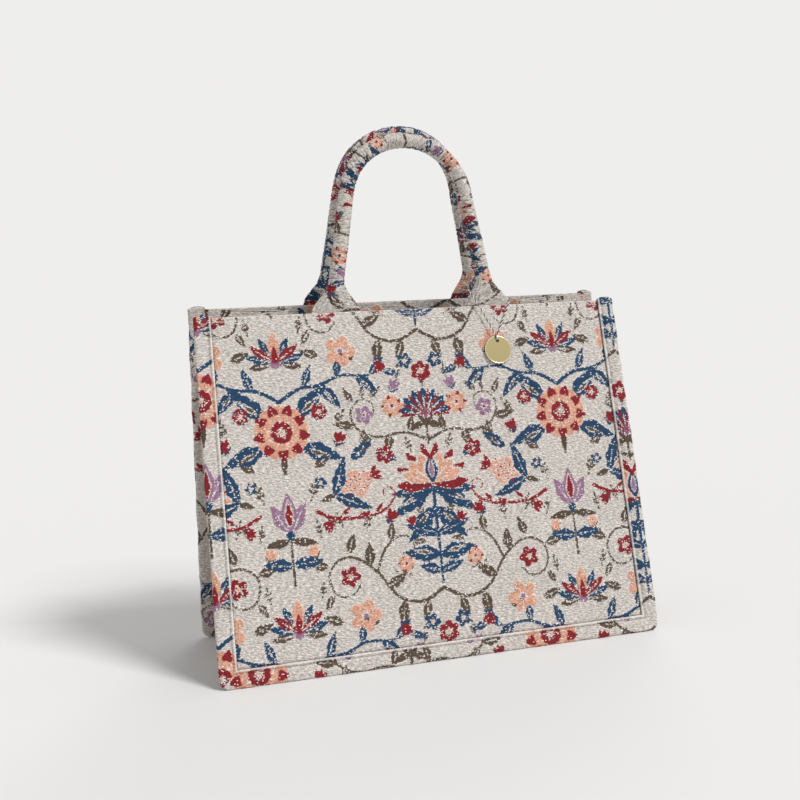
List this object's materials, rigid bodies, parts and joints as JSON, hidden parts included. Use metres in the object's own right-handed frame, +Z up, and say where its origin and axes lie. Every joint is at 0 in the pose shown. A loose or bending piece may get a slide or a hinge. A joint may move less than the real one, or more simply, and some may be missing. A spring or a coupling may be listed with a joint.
{
  "type": "tote bag",
  "caption": "Open-topped structured tote bag in patterned woven cloth, with inward-folding gussets, rolled shoulder handles and a round brass tag on a cord.",
  "frame": {"origin": "the middle of the base's underside, on the surface that the bag stands on", "axes": "+X across the front towards the tag's side, -Y out of the front, +Z up"},
  "size_m": [0.4, 0.15, 0.4678],
  "materials": {
    "patterned_cloth": "woven, slubby, cream ground",
    "lining_cloth": "plain woven",
    "stiffener_board": "plain grey board",
    "rope_core": "twisted cotton rope",
    "satin_brass": "satin",
    "twisted_cord": "twisted black and white thread",
    "red_yarn": "woven",
    "mauve_yarn": "woven",
    "peach_yarn": "woven",
    "blue_yarn": "woven",
    "brown_yarn": "woven"
  },
  "bodies": {
    "root": {"front_panel": "patterned_cloth", "back_panel": "patterned_cloth", "base_panel": "patterned_cloth", "left_gusset": "patterned_cloth", "right_gusset": "patterned_cloth", "rim_facing": "patterned_cloth", "front_board": "stiffener_board", "back_board": "stiffener_board", "base_board": "stiffener_board", "lining": "lining_cloth", "front_handle_cover": "patterned_cloth", "back_handle_cover": "patterned_cloth", "front_handle_core": "rope_core", "back_handle_core": "rope_core", "tag": "satin_brass", "tag_cord": "twisted_cord", "tag_knot": "twisted_cord", "front_red_figures": "red_yarn", "front_mauve_figures": "mauve_yarn", "front_peach_figures": "peach_yarn", "front_blue_figures": "blue_yarn", "front_brown_figures": "brown_yarn", "back_red_figures": "red_yarn", "back_mauve_figures": "mauve_yarn", "back_peach_figures": "peach_yarn", "back_blue_figures": "blue_yarn", "back_brown_figures": "brown_yarn"}
  },
  "joints": []
}
